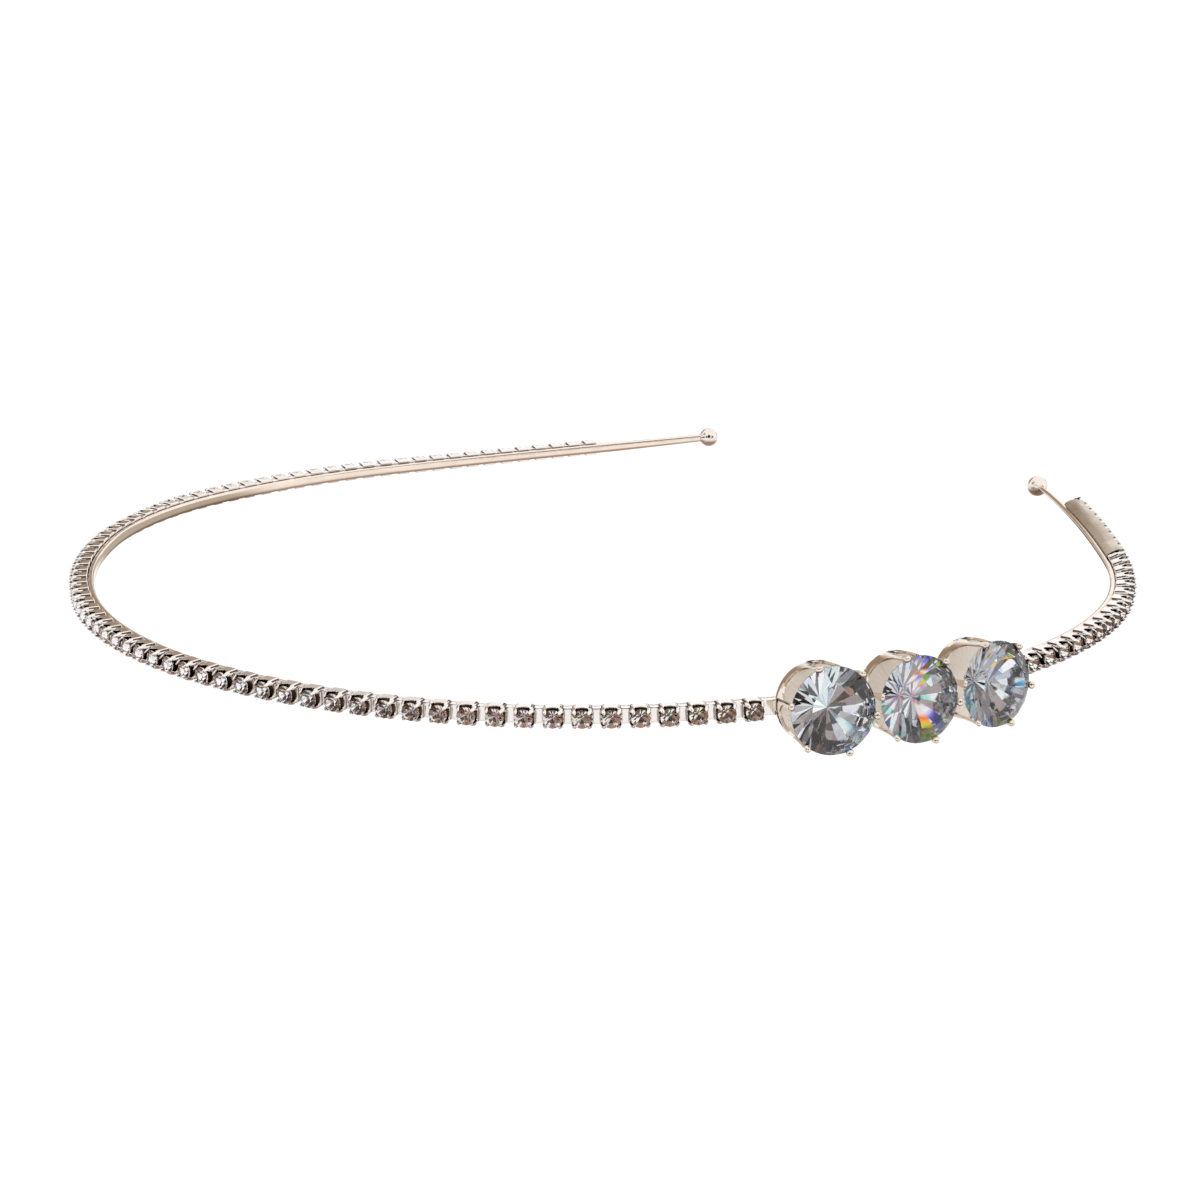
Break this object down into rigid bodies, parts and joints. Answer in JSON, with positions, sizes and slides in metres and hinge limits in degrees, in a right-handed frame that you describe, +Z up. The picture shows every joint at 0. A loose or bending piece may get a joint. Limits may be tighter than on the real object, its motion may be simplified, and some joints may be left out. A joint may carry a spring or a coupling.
{
  "type": "rhinestone headband",
  "caption": "Horseshoe headband of flat plated wire with a chain of small cut stones outside, three large crystals in prong settings to one side, and a ball on each tip.",
  "frame": {"origin": "middle of the band's box on the table it lies on, so at the height of its lowest point", "axes": "+Z up, square to the table; the open side between the ball tips is towards +Y and the crown of the band towards -Y; seen from above, the crystals are towards +X"},
  "size_m": [0.1472, 0.146, 0.011],
  "materials": {
    "plated_metal": "polished silver-coloured plating over wire and thin sheet",
    "small_stones": "small cut glass with a mirrored back",
    "large_crystals": "clear cut glass, polished facets"
  },
  "bodies": {
    "root": {"band_strip": "plated_metal", "ball_tip_left": "plated_metal", "ball_tip_right": "plated_metal", "cup_chain_left": "plated_metal", "cup_chain_right": "plated_metal", "chain_stones_left": "small_stones", "chain_stones_right": "small_stones", "setting_1": "plated_metal", "setting_2": "plated_metal", "setting_3": "plated_metal", "crystal_1": "large_crystals", "crystal_2": "large_crystals", "crystal_3": "large_crystals"}
  },
  "joints": []
}
